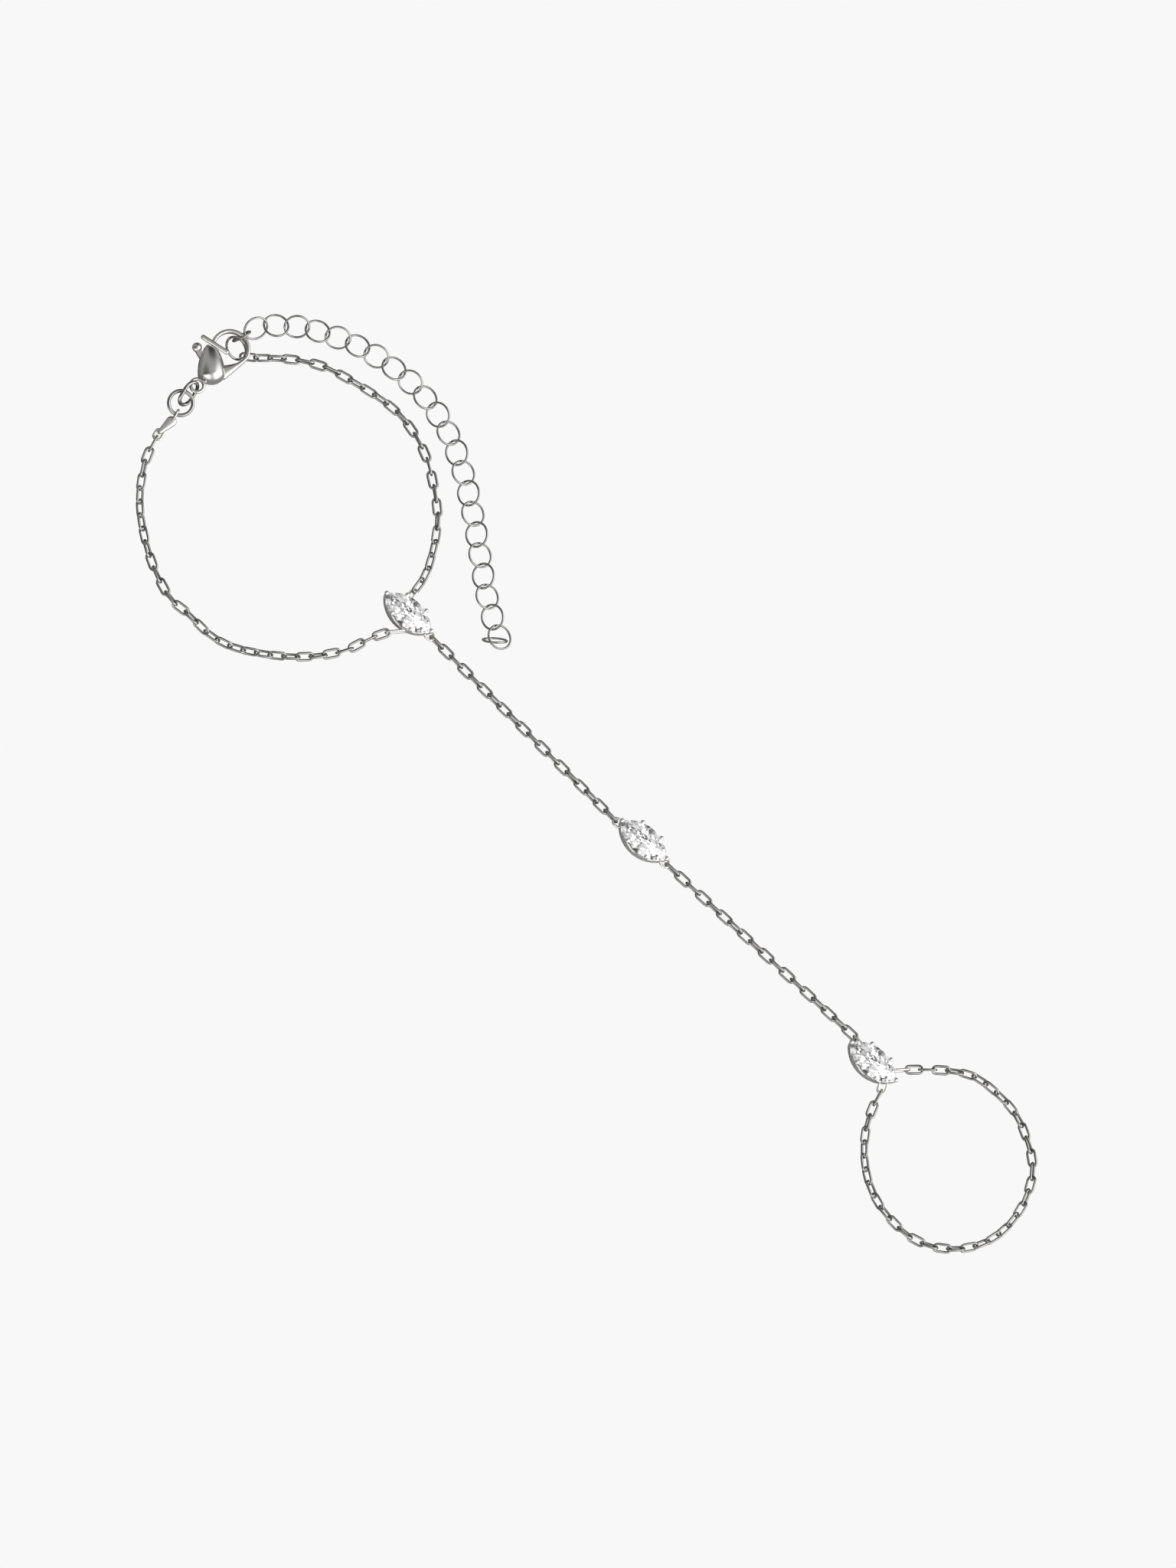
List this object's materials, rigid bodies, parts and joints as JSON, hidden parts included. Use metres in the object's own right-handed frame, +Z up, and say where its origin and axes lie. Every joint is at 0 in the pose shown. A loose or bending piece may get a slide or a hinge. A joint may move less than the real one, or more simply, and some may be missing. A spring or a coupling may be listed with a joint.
{
  "type": "hand chain bracelet",
  "caption": "Silver-coloured hand chain bracelet: wrist chain with lobster clasp and extender, hand chain with marquise stones, and finger loop, lying flat.",
  "frame": {"origin": "on the surface that the bracelet lies on, in the middle of the middle setting's foot", "axes": "+Y along the hand chain from the finger loop to the wrist loop, +Z up from the surface, +X towards the extender's side"},
  "size_m": [0.0462, 0.157, 0.0034],
  "materials": {
    "chain_metal": "bright rhodium plate",
    "setting_metal": "bright rhodium plate",
    "clasp_metal": "polished",
    "stone": "clear, faceted"
  },
  "bodies": {
    "bracelet": {"setting_wrist": "setting_metal", "setting_middle": "setting_metal", "setting_finger": "setting_metal", "stone_wrist": "stone", "stone_middle": "stone", "stone_finger": "stone", "wrist_chain_left": "chain_metal", "wrist_chain_right": "chain_metal", "hand_chain_upper": "chain_metal", "hand_chain_lower": "chain_metal", "finger_chain": "chain_metal", "extender_chain": "chain_metal", "hook_link": "chain_metal", "connector_ring": "chain_metal", "clasp_body": "clasp_metal", "eye_link": "chain_metal", "end_ring": "chain_metal", "end_cap": "clasp_metal"},
    "lever": {"clasp_lever": "clasp_metal"}
  },
  "joints": [
    {"name": "lever_pivot", "type": "hinge", "parent": "bracelet", "child": "lever", "pos_m": [0.0063, 0.08444, 0.00172], "axis": [0, 0, 1], "range_deg": [0, 18], "stiffness_Nm_per_rad": 0.01}
  ]
}
